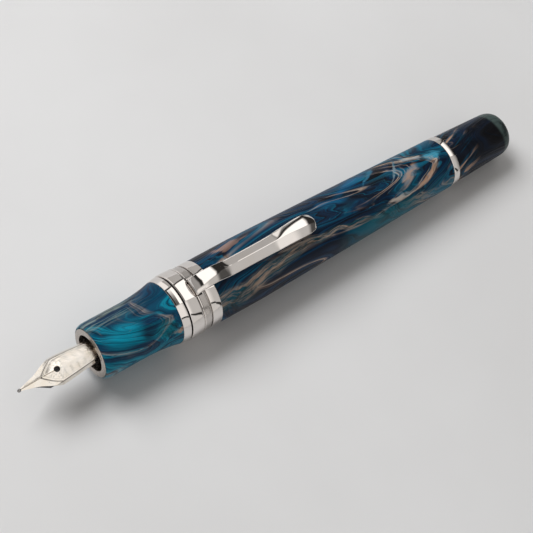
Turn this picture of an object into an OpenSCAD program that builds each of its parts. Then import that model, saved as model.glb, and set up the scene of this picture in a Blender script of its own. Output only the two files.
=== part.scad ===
// Twist-retractable fountain pen, nib out.
// Frame: the origin is the writing point, the very front of the nib's tipping ball.
// +X runs from there along the pen towards the knob, +Z is the clip side.
// Inside the modules x is measured from the nose ring's face and z from the pen's axis,
// and from_tip() moves the result so that the writing point is the origin.
// Names ending in _r are radii, in _x places along the pen. Front is the nib's end.

/* [Overall] */
// Distance from the nose ring's face to the very tip of the nib, nib out
nib_out = 17.8; // [17:0.1:18.5]
// Travel of the nib unit from nib out to nib in
travel = 23; // [21:0.5:23]
// Turn of the knob over the whole travel, in degrees
knob_turn = 210; // [190:5:230]

/* [Grip section] */
// Radius of the grip's waist
grip_r = 6.39; // [6.3:0.01:6.6]
// Length of grip from the nose ring to the front band
grip_len = 18.83; // [18.6:0.01:19]
// Radius of the grip where it meets the front band
grip_flare_r = 7.33; // [7.2:0.01:7.4]
// Outer radius of the nose ring's face
nose_r = 5.63; // [5.4:0.01:5.8]
// Radius of the opening the nib comes out of
nose_bore_r = 4.2; // [4.15:0.01:4.3]

/* [Bands] */
// Largest radius of the middle band
band_r = 7.81; // [7.7:0.01:7.9]
// Where the middle band starts
band_x = 20.95; // [20.9:0.01:21]
// Where the middle band ends and the clip's ring starts
ring_x = 24.1; // [24:0.01:24.2]
// Radius of the clip's ring
ring_r = 7.72; // [7.6:0.01:7.75]
// Radius of the recessed spacer ring
spacer_r = 7.5; // [7.4:0.01:7.55]
// Where the barrel's front ring starts
rear_ring_x = 26.4; // [26.3:0.01:26.5]

/* [Barrel] */
// Where the resin barrel starts
barrel_x = 28.9; // [28.8:0.01:29]
// Where the resin barrel ends
barrel_end = 97.26; // [97.2:0.01:97.3]
// Radius of the barrel along its straight front part
barrel_r = 7.53; // [7.45:0.01:7.6]
// Radius of the barrel at its rear end
barrel_tail_r = 6.13; // [6.1:0.01:6.2]
// How quickly the taper starts, 1 for a straight cone
taper_pow = 1.15; // [1.05:0.01:1.3]

/* [Knob] */
// Where the knob starts
knob_x = 99.1; // [99.05:0.01:99.2]
// Radius of the knob at its front edge
knob_r = 5.97; // [5.8:0.01:6]
// Radius of the knob where its end starts to round
knob_tail_r = 5.35; // [5.2:0.01:5.5]
// Where the whole pen ends
pen_end = 117; // [116.5:0.1:117.5]

/* [Clip] */
// Width of the clip's arm
clip_w = 3.85; // [3.6:0.05:4.1]
// Width of the clip's rounded end
clip_end_w = 4.7; // [4.6:0.05:5.2]
// Far end of the clip
clip_end = 57.1; // [56.5:0.1:59]
// Height of the clip's front hump above the axis
clip_hump = 9.9; // [9.7:0.05:10.2]
// Height of the arm's low middle above the axis
clip_low = 9.1; // [9:0.05:9.3]

/* [Nib] */
// Half width of the nib at its shoulders
nib_half = 3.25; // [3:0.05:3.3]
// Half width of the nib at the nose
nib_waist = 2.5; // [2.4:0.05:2.6]
// Thickness of the nib's sheet
nib_t = 0.34; // [0.3:0.02:0.4]
// Height of the writing tip above the axis
tip_z = 1.15; // [1.05:0.05:1.25]

/* [Hidden] */

// facets of surfaces round the axis, of pins, and of balls and small holes
axis_fn = 96;
pin_fn = 48;
ball_fn = 32;

// fits
gap = 0.02;         // between parts that are bonded or pressed together
run = 0.08;         // radial clearance of a sliding or turning fit

// nested tubes, from the inside out
carrier_ri = 3.75;  // the sliding carrier tube
carrier_ro = 4.0;
slide_r = carrier_ro + run;      // bores the carrier slides in
guide_ro = 4.45;                 // fixed guide tube
cam_ri = guide_ro + run;         // turning cam tube
cam_ro = 5.0;
barrel_bore = 5.15;
liner_ro = 5.2;
bush_ro = 6.5;
bush_bore_r = 5.3;               // wide front bore of the barrel's bush
shaft_r = 4.2;                   // knob shaft

// radii of parts that sit in or on another
in_carrier_r = carrier_ri - gap;
on_liner_r = liner_ro + gap;
on_bush_r = bush_ro + gap;
on_shaft_r = shaft_r + run;

// colours used by several pieces
bright_plate = [0.86, 0.86, 0.87];
plate = [0.85, 0.85, 0.86];
brass = [0.8, 0.66, 0.36];
carrier_brass = [0.78, 0.62, 0.32];
steel = [0.75, 0.76, 0.78];
spring_steel = [0.7, 0.7, 0.72];
white_plastic = [0.9, 0.9, 0.88];

// ---- helpers -------------------------------------------------------------
// shift so that the writing point is the origin
module from_tip() { translate([nib_out, 0, -tip_z]) children(); }

// turn a profile of [radius, x] points about the pen's axis
module revolve(profile) {
    rotate([0, 90, 0]) rotate_extrude($fn = axis_fn) polygon(profile);
}

// plain tube along the axis
module tube(x0, x1, inner, outer) {
    revolve([[inner, x0], [outer, x0], [outer, x1], [inner, x1]]);
}

// solid rod along the axis
module rod(x0, x1, radius) {
    translate([x0, 0, 0]) rotate([0, 90, 0]) cylinder(h = x1 - x0, r = radius, $fn = axis_fn);
}

// a block between two corners
module block(low, high) { translate(low) cube(high - low); }

// extrude an [x, z] outline across the pen
module side(outline, width) {
    translate([0, width / 2, 0]) rotate([90, 0, 0]) linear_extrude(width) polygon(outline);
}

// sector of a ring, centred on a direction, in the plane across the axis
function sector(inner, outer, dir, half, steps) = concat(
    [for (i = [0:steps]) let (a = dir - half + 2 * half * i / steps) outer * [cos(a), sin(a)]],
    [for (i = [steps:-1:0]) let (a = dir - half + 2 * half * i / steps) inner * [cos(a), sin(a)]]);

// evenly spaced values, both ends included
function spread(first, last, steps) = [for (i = [0:steps]) first + i * (last - first) / steps];

// outline from one edge, points across its end, and the edge mirrored in y
function mirrored(edge, middle = []) = concat(edge, middle,
    [for (i = [len(edge) - 1:-1:0]) [edge[i].x, -edge[i].y]]);

// smooth step from 0 to 1
function smooth(u) = let (v = min(1, max(0, u))) v * v * (3 - 2 * v);

// ---- nib unit: slides as one ---------------------------------------------
point_r = 0.42;      // tipping ball
shoulder_x = -8.4;   // widest place of the nib
waist_x = 0.5;       // where it has narrowed to its waist
nib_tip_half = 0.08; // half width at the very front
swell = 0.62;        // extra half width gained towards the shoulders
nib_tilt = 4.0;      // slope of the nib's crest
blade_r = 3.6;       // curvature of the nib's blade
crest_z = 2.66;      // height of the crest at x = 0
shank_r = 2.75;      // tubular rear of the nib
shank_end = 6.6;
feed_r = 2.36;
feed_front = -14.6;
feed_step_x = 15;    // where the feed narrows to its tail
feed_tail_r = 1.35;
collar_r = 3.2;      // thin front of the nib unit's collar
carrier_end = 65.2;
pin_r = 0.6;         // cam pin
pin_x = 63.5;        // cam pin, nib out

// half width of the nib at x
function nib_half_at(x) = x > shoulder_x
    ? nib_waist + (nib_half - nib_waist) * (waist_x - x) / (waist_x - shoulder_x)
    : let (u = (x + nib_out) / (nib_out + shoulder_x))
        nib_tip_half + (nib_half - nib_tip_half - swell) * u + swell * smooth((u - 0.42) / 0.45);

nib_outline = mirrored(concat(
    [for (x = spread(-nib_out + 0.45, 0, 36)) [x, nib_half_at(x)]],
    [[7, nib_waist]]));

// the feed stays inside the nib's outline
feed_outline = mirrored(concat(
    [for (x = [feed_front:0.8:-8.2]) [x, min(feed_r, nib_half_at(x) - 0.24)]],
    [[-7, feed_r], [21, feed_r]]));

// the part of the feed ahead of the nose, seen from the side, [x, z]
feed_side = [[-15.6, 1.2], [-4, 4], [0.5, 4], [0.5, -2.4], [-4.5, -2.4], [-9, -1.6],
    [-15.6, 0.95]];

// tilted rod that sets the blade's curvature
module blade_rod(radius) {
    translate([0, 0, crest_z]) rotate([0, -nib_tilt, 0]) translate([-30, 0, -blade_r])
        rotate([0, 90, 0]) cylinder(h = 30.6, r = radius, $fn = axis_fn);
}

module point_ball(radius) {
    translate([-nib_out + point_r, 0, tip_z]) sphere(r = radius, $fn = ball_fn);
}

// hole for the cam pin
module pin_hole() {
    translate([pin_x, 0, 0]) cylinder(h = 6, r = pin_r + gap, $fn = pin_fn);
}

module nib() {
    breather_x = -8.5;
    from_tip() color(bright_plate) difference() {
        union() {
            // blade
            intersection() {
                difference() {
                    blade_rod(blade_r);
                    blade_rod(blade_r - nib_t);
                }
                linear_extrude(4) polygon(nib_outline);
            }
            // shank, open below
            difference() {
                rod(-0.6, shank_end, shank_r);
                rod(-1, 7, shank_r - nib_t);
                block([-2, -4, -4], [8, 4, 0.5]);
            }
        }
        // breather hole, slit and seat of the ball
        translate([breather_x, 0, 0]) cylinder(h = 5, r = 0.5, $fn = ball_fn);
        block([-nib_out, -0.05, -1], [breather_x, 0.05, 4]);
        point_ball(point_r + gap);
    }
}

module nib_point() { from_tip() color([0.8, 0.8, 0.82]) point_ball(point_r); }

module feed() {
    fin_pitch = 0.95;
    fin_slot = 0.3;
    from_tip() color([0.07, 0.07, 0.08]) difference() {
        intersection() {
            union() {
                rod(feed_front, feed_step_x, feed_r);
                rod(feed_step_x, 20.5, feed_tail_r);
            }
            translate([0, 0, -3]) linear_extrude(6) polygon(feed_outline);
            union() {
                intersection() {
                    blade_rod(blade_r - nib_t - 0.03);
                    side(feed_side, 5);
                }
                block([0.5, -3, -3], [21, 3, 3]);
            }
        }
        // comb of fins below the nib
        for (i = [0:8]) {
            x = -8.6 + fin_pitch * i;
            block([x, -3, -3], [x + fin_slot, 3, -1.1]);
        }
        // ink channel and the bore behind it
        block([-14, -0.09, 1.1], [shank_end, 0.09, 3]);
        rod(shank_end, 22, 0.5);
    }
}

module nib_collar() {
    from_tip() color([0.12, 0.12, 0.13]) difference() {
        union() {
            rod(2, 13, collar_r);
            rod(13, 18, in_carrier_r);
        }
        rod(1, 7, shank_r + gap);
        rod(6.9, feed_step_x + gap, feed_r + gap);
        rod(feed_step_x, 19, feed_tail_r + gap);
    }
}

module carrier_tube() {
    from_tip() color(carrier_brass) difference() {
        tube(14, carrier_end, carrier_ri, carrier_ro);
        pin_hole();
    }
}

module ink_cartridge() {
    from_tip() color([0.16, 0.28, 0.55]) revolve([
        [0, 57.9], [0, 56.9], [2.8, 56.9], [2.8, 22.6], [1.6, 21.4], [1.6, 18.2],
        [2.3, 18.2], [2.3, 21.2], [3.6, 22.6], [3.6, 57.2], [3.1, 57.9]]);
}

// three turns of a wide coil
module cartridge_spring() {
    from_tip() color(spring_steel) translate([58.0, 0, 0]) rotate([0, 90, 0])
        linear_extrude(height = 3.95, twist = -3 * 360, slices = 72)
            polygon(sector(inner = 2.5, outer = 3.2, dir = 0, half = 50, steps = 5));
}

module carrier_plug() {
    from_tip() color(carrier_brass) difference() {
        rod(62.05, carrier_end, in_carrier_r);
        pin_hole();
        rod(64, 66, 1.5);
    }
}

module cam_pin() {
    from_tip() color(steel) translate([pin_x, 0, 1]) cylinder(h = 3.92, r = pin_r, $fn = pin_fn);
}

// ---- twist mechanism ------------------------------------------------------
guide_x = 27.6;         // front of the guide tube and its flange
core_shoulder_x = 95.4; // rear face of the knob core's wide plug
groove_x = 96.9;        // O-ring groove in the shaft
groove_end = 97.7;
knob_round_x = 114.3;   // where the knob's end starts to round
knob_bore_end = 112.2;

module guide_tube() {
    slot_half = pin_r + run;
    from_tip() color(brass) difference() {
        union() {
            tube(guide_x, 92.3, slide_r, guide_ro);
            tube(guide_x, 29, slide_r, bush_bore_r - gap);
        }
        // straight slot the pin slides along
        block([pin_x - 1, -slot_half, 3], [pin_x + travel + 1, slot_half, 6]);
    }
}

// the helical slot starts at the pin, on the clip side
module cam_tube() {
    lead = knob_turn / travel;   // degrees per millimetre
    overrun = 1.1;               // slot beyond the pin's centre at each end of its travel
    slot_len = travel + 2 * overrun;
    from_tip() color([0.72, 0.73, 0.75]) difference() {
        tube(59, 95.3, cam_ri, cam_ro);
        translate([pin_x - overrun, 0, 0]) rotate([0, 90, 0]) rotate([0, 0, -overrun * lead])
            linear_extrude(height = slot_len, twist = -lead * slot_len, slices = 60)
                polygon(sector(inner = 4.2, outer = 5.3, dir = 180, half = 10.8, steps = 2));
    }
}

// radius of the knob at x, along its cone
function knob_at(x) = knob_r - (knob_r - knob_tail_r) * (x - knob_x) / (knob_round_x - knob_x);

module knob() {
    cone_x = knob_x + 0.15;   // rear of the front edge's chamfer
    xs = spread(cone_x, knob_round_x, 8);
    from_tip() color([0.06, 0.09, 0.14]) revolve(concat(
        [[shaft_r + gap, knob_x], [knob_r - 0.12, knob_x], [knob_r, cone_x]],
        [for (i = [1:8]) [knob_at(xs[i]), xs[i]]],
        [for (a = [10:10:90])
            [knob_tail_r * pow(cos(a), 0.42), knob_round_x + (pen_end - knob_round_x) * sin(a)]],
        [[0, knob_bore_end], [shaft_r + gap, knob_bore_end]]));
}

module knob_core() {
    plug_r = cam_ri - gap;
    bore_r = 3.2;
    groove_r = 3.5;
    shaft_end = 112.1;
    from_tip() color(steel) revolve([
        [0, 92.6], [plug_r, 92.6], [plug_r, core_shoulder_x], [shaft_r, core_shoulder_x],
        [shaft_r, groove_x], [groove_r, groove_x], [groove_r, groove_end], [shaft_r, groove_end],
        [shaft_r, shaft_end], [bore_r, shaft_end], [bore_r, 98.5], [0, 98.5]]);
}

module thrust_washer() {
    from_tip() color(white_plastic) tube(core_shoulder_x + gap, 95.62, on_shaft_r, 5.08);
}

module twist_o_ring() {
    from_tip() color([0.05, 0.05, 0.05]) translate([(groove_x + groove_end) / 2, 0, 0])
        rotate([0, 90, 0]) rotate_extrude($fn = axis_fn)
            translate([3.87, 0]) circle(0.33, $fn = ball_fn);
}

module knob_bush() { from_tip() color(white_plastic) tube(95.7, 98.9, on_shaft_r, 4.88); }

// sleeve inside the barrel with a visible flange behind it
module rear_trim_ring() {
    bore_r = 4.9;
    sleeve_r = barrel_bore - gap;
    flange_r = barrel_tail_r + 0.03;
    flange_x = barrel_end + gap;
    flange_end = 98.97;
    from_tip() color(plate) revolve([
        [bore_r, 95.8], [sleeve_r, 95.8], [sleeve_r, flange_x], [barrel_tail_r - 0.1, flange_x],
        [flange_r, barrel_end + 0.14], [flange_r, 98.8], [barrel_tail_r - 0.12, flange_end],
        [bore_r, flange_end]]);
}

// ---- barrel ---------------------------------------------------------------
taper_x = 39.5;             // where the barrel's taper starts
band_crest_x = band_x + 1;  // widest place of the middle band
ring_end = ring_x + 0.4;    // rear face of the clip's ring

// radius of the barrel at x
function barrel_at(x) = x < taper_x
    ? barrel_r - 0.05 * pow((taper_x - x) / (taper_x - barrel_x), 2)
    : barrel_r - (barrel_r - barrel_tail_r)
        * pow((x - taper_x) / (barrel_end - taper_x), taper_pow);

// radius of the middle band at x, falling off faster in front of the crest
function band_at(x) = band_r - 0.09 * pow((x - band_crest_x) / (ring_x - band_crest_x), 2)
    - (x < band_crest_x ? 0.05 * pow(band_crest_x - x, 2) : 0);

// room for the clip's root, cut from above down to a given height
module clip_notch(x0, x1, floor_z) {
    half = clip_w / 2 + 0.1;
    block([x0, -half, floor_z], [x1, half, 9]);
}

module barrel() {
    front = barrel_x + gap;
    rear = barrel_end - gap;
    counterbore_end = 38.1;
    from_tip() color([0.05, 0.25, 0.36]) revolve(concat(
        [[on_bush_r, front]],
        [for (x = spread(front, rear, 26)) [barrel_at(x), x]],
        [[barrel_bore, rear], [barrel_bore, counterbore_end], [on_bush_r, counterbore_end]]));
}

module barrel_bush() {
    from_tip() color(brass) revolve([
        [bush_bore_r, band_x], [bush_ro, band_x], [bush_ro, 38],
        [5.0, 38], [5.0, 29.1], [bush_bore_r, 29.1]]);
}

module barrel_front_ring() {
    from_tip() color(plate) revolve([
        [on_bush_r, rear_ring_x], [7.36, rear_ring_x], [7.46, rear_ring_x + 0.12],
        [7.53, rear_ring_x + 0.9], [7.55, rear_ring_x + 1.7], [7.52, barrel_x - 0.1],
        [7.44, barrel_x], [on_bush_r, barrel_x]]);
}

// its stepped-down rear leaves a groove in front of the barrel's front ring
module spacer_ring() {
    front = ring_end + gap;
    rear = rear_ring_x - gap;
    groove_floor_r = 7.1;
    from_tip() color([0.6, 0.58, 0.56]) difference() {
        revolve([
            [on_bush_r, front], [spacer_r, front], [spacer_r, 26.08],
            [groove_floor_r, 26.1], [groove_floor_r, rear], [on_bush_r, rear]]);
        clip_notch(ring_x, 25.5, 6.62);
    }
}

module clip_ring() {
    front = ring_x + gap;
    from_tip() color([0.8, 0.8, 0.8]) difference() {
        revolve([
            [on_bush_r, front], [ring_r - 0.1, front], [ring_r, ring_x + 0.12],
            [ring_r, ring_x + 0.3], [ring_r - 0.1, ring_end], [on_bush_r, ring_end]]);
        clip_notch(ring_x - 1, ring_x + 1, 7.0);
    }
}

module main_band() {
    edge = 0.12;      // length of the chamfers
    edge_drop = 0.1;  // and their height
    from_tip() color(bright_plate) difference() {
        revolve(concat(
            [[on_bush_r, band_x], [band_at(band_x) - edge_drop, band_x]],
            [for (x = spread(band_x + edge, ring_x - edge, 8)) [band_at(x), x]],
            [[band_at(ring_x) - edge_drop, ring_x], [on_bush_r, ring_x]]));
        // shallow notch the clip's root rises from
        clip_notch(23.55, 25, 7.0);
    }
}

// ---- clip -----------------------------------------------------------------
clip_top_x = 24.9;   // where the computed top line starts
hump_front_x = 28;   // the top falls away in front of this
hump_rear_x = 29.5;  // and sinks to the arm behind this
lift_x = 45.5;       // the top rises again towards the end
lift = 1.0;
droop_x = 54.6;      // the end curves down
droop = 2.2;
arm_t = 1.05;        // thickness of the arm
pad_t = 1.75;        // extra thickness below the end

// top of the clip at x, as height above the axis
function clip_top(x) = clip_low
    + (clip_hump - clip_low) * (1 - smooth((x - hump_rear_x) / 6))
    - (x < hump_front_x ? 1.5 * pow((hump_front_x - x) / 4.1, 2.6) : 0)
    + lift * smooth((x - lift_x) / 6.5)
    - droop * pow(max(0, (x - droop_x) / (clip_end - droop_x)), 2.6);

// underside of the clip at x, kept clear of the barrel
function clip_under(x) = max(barrel_at(x) + 0.12,
    clip_top(x) - arm_t - pad_t * smooth((x - 48) / 5) * (1 - smooth((x - 55) / 3)));

// half width of the clip at x
function clip_half(x) = clip_w / 2 + (clip_end_w - clip_w) / 2 * smooth((x - 46) / 7.5);

module clip() {
    steps = 40;
    xs = spread(clip_top_x, clip_end, steps);
    end_r = clip_end_w / 2;
    // seen from above, [x, y]
    plan = mirrored(
        concat([[23.7, clip_w / 2 - 0.5], [24.6, clip_w / 2]],
            [for (x = [30:2:54]) [x, clip_half(x)]]),
        [for (a = [90:-10:-90]) [clip_end - end_r + end_r * cos(a), end_r * sin(a)]]);
    // seen from the side, [x, z]: root, top, underside, back to the root
    profile = concat(
        [[23.8, 7.15], [23.8, 7.9], [23.95, 8.45], [24.3, 8.85]],
        [for (x = xs) [x, clip_top(x)]],
        [for (i = [steps:-1:4]) [xs[i], clip_under(xs[i])]],
        [[25.95, 8.2], [25.1, 7.15]]);
    from_tip() color(plate) intersection() {
        side(profile, 8);
        translate([0, 0, 6]) linear_extrude(6) polygon(plan);
    }
}

// ---- shutter: keeps the nib from drying while it is in --------------------
door_x = 5.9;          // shutter hinge pin
door_z = -4.6;
door_lean = 8.5;       // how far the shutter leans in, resting on the collar
door_pin_r = 0.3;
door_pin_len = 3.2;
spring_half = 0.6;     // leaf spring: half width, rear end, lower and upper faces
spring_end = 16;
spring_low = -5.14;
spring_high = -5.02;

// cylinder across the pen on the hinge's axis
module on_hinge(length, radius) {
    translate([door_x, length / 2, door_z]) rotate([90, 0, 0])
        cylinder(h = length, r = radius, $fn = pin_fn);
}

module shutter_door() {
    from_tip() color([0.8, 0.8, 0.82])
        translate([door_x, 0, door_z]) rotate([0, -door_lean, 0]) translate([-door_x, 0, -door_z])
            difference() {
                union() {
                    // curved leaf
                    intersection() {
                        tube(door_x + 1.1, 12.8, 4.25, 4.75);
                        side([[5, -3.1], [14, -3.1], [14, -6], [5, -6]], 12);
                    }
                    // knuckle and the arm to the leaf
                    on_hinge(1.8, 0.5);
                    block([door_x, -0.9, door_z - 0.12], [door_x + 1.3, 0.9, door_z + 0.26]);
                }
                on_hinge(6, door_pin_r + 0.05);
            }
}

module door_pin() { from_tip() color(steel) on_hinge(door_pin_len, door_pin_r); }

module door_spring() {
    from_tip() color(spring_steel)
        block([8.2, -spring_half, spring_low], [spring_end, spring_half, spring_high]);
}

// ---- grip section: unscrews as one ---------------------------------------
seat_x = 0.75;           // rear of the nose ring's flange
nose_sleeve_r = 4.7;
front_band_end = 20.65;
waist_end = 9.3;         // where the grip starts to flare

// radius of the grip at x, behind its waist
function grip_at(x) = grip_r
    + (grip_flare_r - grip_r) * pow((x - waist_end) / (grip_len - waist_end), 2.3);

module section_seal_ring() { from_tip() color([0.04, 0.04, 0.04]) tube(20.68, 20.92, 5.32, 7.35); }

module section_front_band() {
    front = grip_len + gap;
    from_tip() color(bright_plate) revolve([
        [on_liner_r, front], [grip_flare_r - 0.02, front], [grip_flare_r + 0.1, grip_len + 0.15],
        [7.52, 19.8], [7.66, 20.45], [7.62, front_band_end], [on_liner_r, front_band_end]]);
}

module grip_section() {
    front = seat_x + gap;
    lip_r = nose_r + 0.2;
    lip_x = 0.17;
    lip_len = 1.58;   // length of the rounding behind the lip
    from_tip() color([0.05, 0.42, 0.52]) revolve(concat(
        [[on_liner_r, front], [nose_r + gap, front], [nose_r + gap, 0.2], [lip_r, lip_x]],
        [for (a = [20:14:90])
            [lip_r + (grip_r - lip_r) * sin(a), lip_x + lip_len * (1 - cos(a))]],
        [for (x = spread(waist_end, grip_len, 14)) [grip_at(x), x]],
        [[on_liner_r, grip_len]]));
}

module section_liner() {
    window_x = 6.6;
    window_end = 14.6;
    window_z = -1.9;
    pitch = 0.8;
    root_r = 4.85;
    crest_r = 5.22;
    from_tip() color(brass) difference() {
        union() {
            tube(seat_x + gap, 20.9, slide_r, liner_ro);
            // male thread, drawn as rings at the thread's pitch
            revolve(concat(
                [[slide_r, 20.8]],
                [for (i = [0:5]) let (x = 21 + pitch * i) each
                    [[root_r, x], [crest_r, x + 0.3], [crest_r, x + 0.45], [root_r, x + 0.75]]],
                [[root_r, 26.2], [slide_r, 26.2]]));
        }
        // counterbore for the nose ring's sleeve and the seal
        rod(0, 5, nose_sleeve_r + gap);
        // window the open shutter folds into
        intersection() {
            tube(window_x, window_end, 4, 6);
            side([[window_x, window_z], [window_end, window_z], [window_end, -7],
                [window_x, -7]], 12);
        }
        // room for the hinge, its pin and the spring's rear end
        block([5.01, -1.02, -6], [7, 1.02, -3.5]);
        on_hinge(door_pin_len + 2 * gap, door_pin_r + 0.01);
        block([14.5, -spring_half - gap, spring_low - gap],
            [spring_end + 0.1, spring_half + gap, spring_high + gap]);
    }
}

module nose_ring() {
    sleeve_end = 3.9;
    from_tip() color([0.8, 0.78, 0.76]) revolve([
        [nose_bore_r, 0.15], [nose_bore_r + 0.12, 0], [nose_r - 0.08, 0], [nose_r, 0.1],
        [nose_r, seat_x], [nose_sleeve_r, seat_x], [nose_sleeve_r, sleeve_end],
        [nose_bore_r, sleeve_end]]);
}

module shutter_seal() {
    from_tip() color([0.05, 0.05, 0.05]) tube(3.95, 4.9, nose_bore_r, nose_sleeve_r);
}

nib();
nib_point();
feed();
nib_collar();
carrier_tube();
ink_cartridge();
cartridge_spring();
carrier_plug();
cam_pin();
guide_tube();
cam_tube();
knob();
knob_core();
knob_bush();
thrust_washer();
twist_o_ring();
rear_trim_ring();
barrel();
barrel_bush();
barrel_front_ring();
spacer_ring();
clip_ring();
clip();
main_band();
section_seal_ring();
section_front_band();
grip_section();
section_liner();
nose_ring();
shutter_seal();
shutter_door();
door_pin();
door_spring();
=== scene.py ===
"""A marbled resin pen with plated trim, an engraved nib and a springy clip, lying on a pale floor.

Shapes are written in pen coordinates, in millimetres: x runs along the pen's axis from the nose
ring's face (0) towards the knob, with the nib at negative x; z runs from the axis towards the
clip; +y is the side away from the camera. to_row() takes them to the row frame, in metres.
"""
import math

import bmesh
import bpy
import numpy as np
from mathutils import Matrix, Vector


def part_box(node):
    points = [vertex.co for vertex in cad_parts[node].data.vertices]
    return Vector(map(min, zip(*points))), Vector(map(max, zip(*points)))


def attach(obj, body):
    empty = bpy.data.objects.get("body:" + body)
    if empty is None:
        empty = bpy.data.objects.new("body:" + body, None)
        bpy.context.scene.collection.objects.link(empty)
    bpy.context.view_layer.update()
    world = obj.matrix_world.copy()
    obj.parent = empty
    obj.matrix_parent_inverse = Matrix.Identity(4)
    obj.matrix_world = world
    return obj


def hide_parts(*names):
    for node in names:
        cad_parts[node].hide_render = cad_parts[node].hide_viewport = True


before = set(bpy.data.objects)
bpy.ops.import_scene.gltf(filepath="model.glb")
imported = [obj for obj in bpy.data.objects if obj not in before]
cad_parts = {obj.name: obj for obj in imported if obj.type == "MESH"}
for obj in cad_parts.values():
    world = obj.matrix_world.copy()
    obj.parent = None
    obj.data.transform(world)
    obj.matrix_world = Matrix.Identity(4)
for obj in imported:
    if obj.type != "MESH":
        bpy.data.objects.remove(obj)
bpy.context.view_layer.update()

scene = bpy.context.scene

# ---------------------------------------------------------------------------
# Driving dimensions (mm), the first ones read from the frame's boxes
ORIGIN_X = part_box("nose_ring")[0].x * 1000
ORIGIN_Z = (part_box("barrel")[0].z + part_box("barrel")[1].z) * 500
BAND_RADIUS = (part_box("main_band")[1].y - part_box("main_band")[0].y) * 500
TIP_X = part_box("nib_point")[0].x * 1000 - ORIGIN_X
TIP_Z = (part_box("nib_point")[0].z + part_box("nib_point")[1].z) * 500 - ORIGIN_Z
KNOB_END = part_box("knob")[1].x * 1000 - ORIGIN_X
BARREL_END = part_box("barrel")[1].x * 1000 - ORIGIN_X

NOSE_FACE_X = 0.0
SECTION_BORE = 5.23         # radius inside the grip and its band
BARREL_BORE = 6.53          # radius inside the barrel's front and its bands
GRIP_RADIUS = 6.39          # of the grip's straight front part
KNOB_START = 99.1
KNOB_DOME_START = 113.6     # where the knob's side turns into its domed end
CLIP_HALF_WIDTH = 1.925
HOLE_X = -8.5               # centre of the nib's round hole
HOLE_RADIUS = 0.56


def to_row(points):
    """Pen millimetres to row-frame metres."""
    points = np.asarray(points, float).reshape(-1, 3)
    return (points + [ORIGIN_X, 0, ORIGIN_Z]) / 1000


# ---------------------------------------------------------------------------
# Node graphs
def arithmetic(operation, swapped=False):
    def apply(self, other):
        first, second = (other, self) if swapped else (self, other)
        return self.graph.math(operation, first, second)
    return apply


class Value:
    """A number in a node graph. Arithmetic on it adds Math nodes, operands in written order."""

    def __init__(self, graph, socket):
        self.graph = graph
        self.socket = socket

    __add__ = arithmetic("ADD")
    __radd__ = arithmetic("ADD", swapped=True)
    __sub__ = arithmetic("SUBTRACT")
    __rsub__ = arithmetic("SUBTRACT", swapped=True)
    __mul__ = arithmetic("MULTIPLY")
    __truediv__ = arithmetic("DIVIDE")

    def __abs__(self):
        return self.graph.math("ABSOLUTE", self, 0.0)


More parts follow.
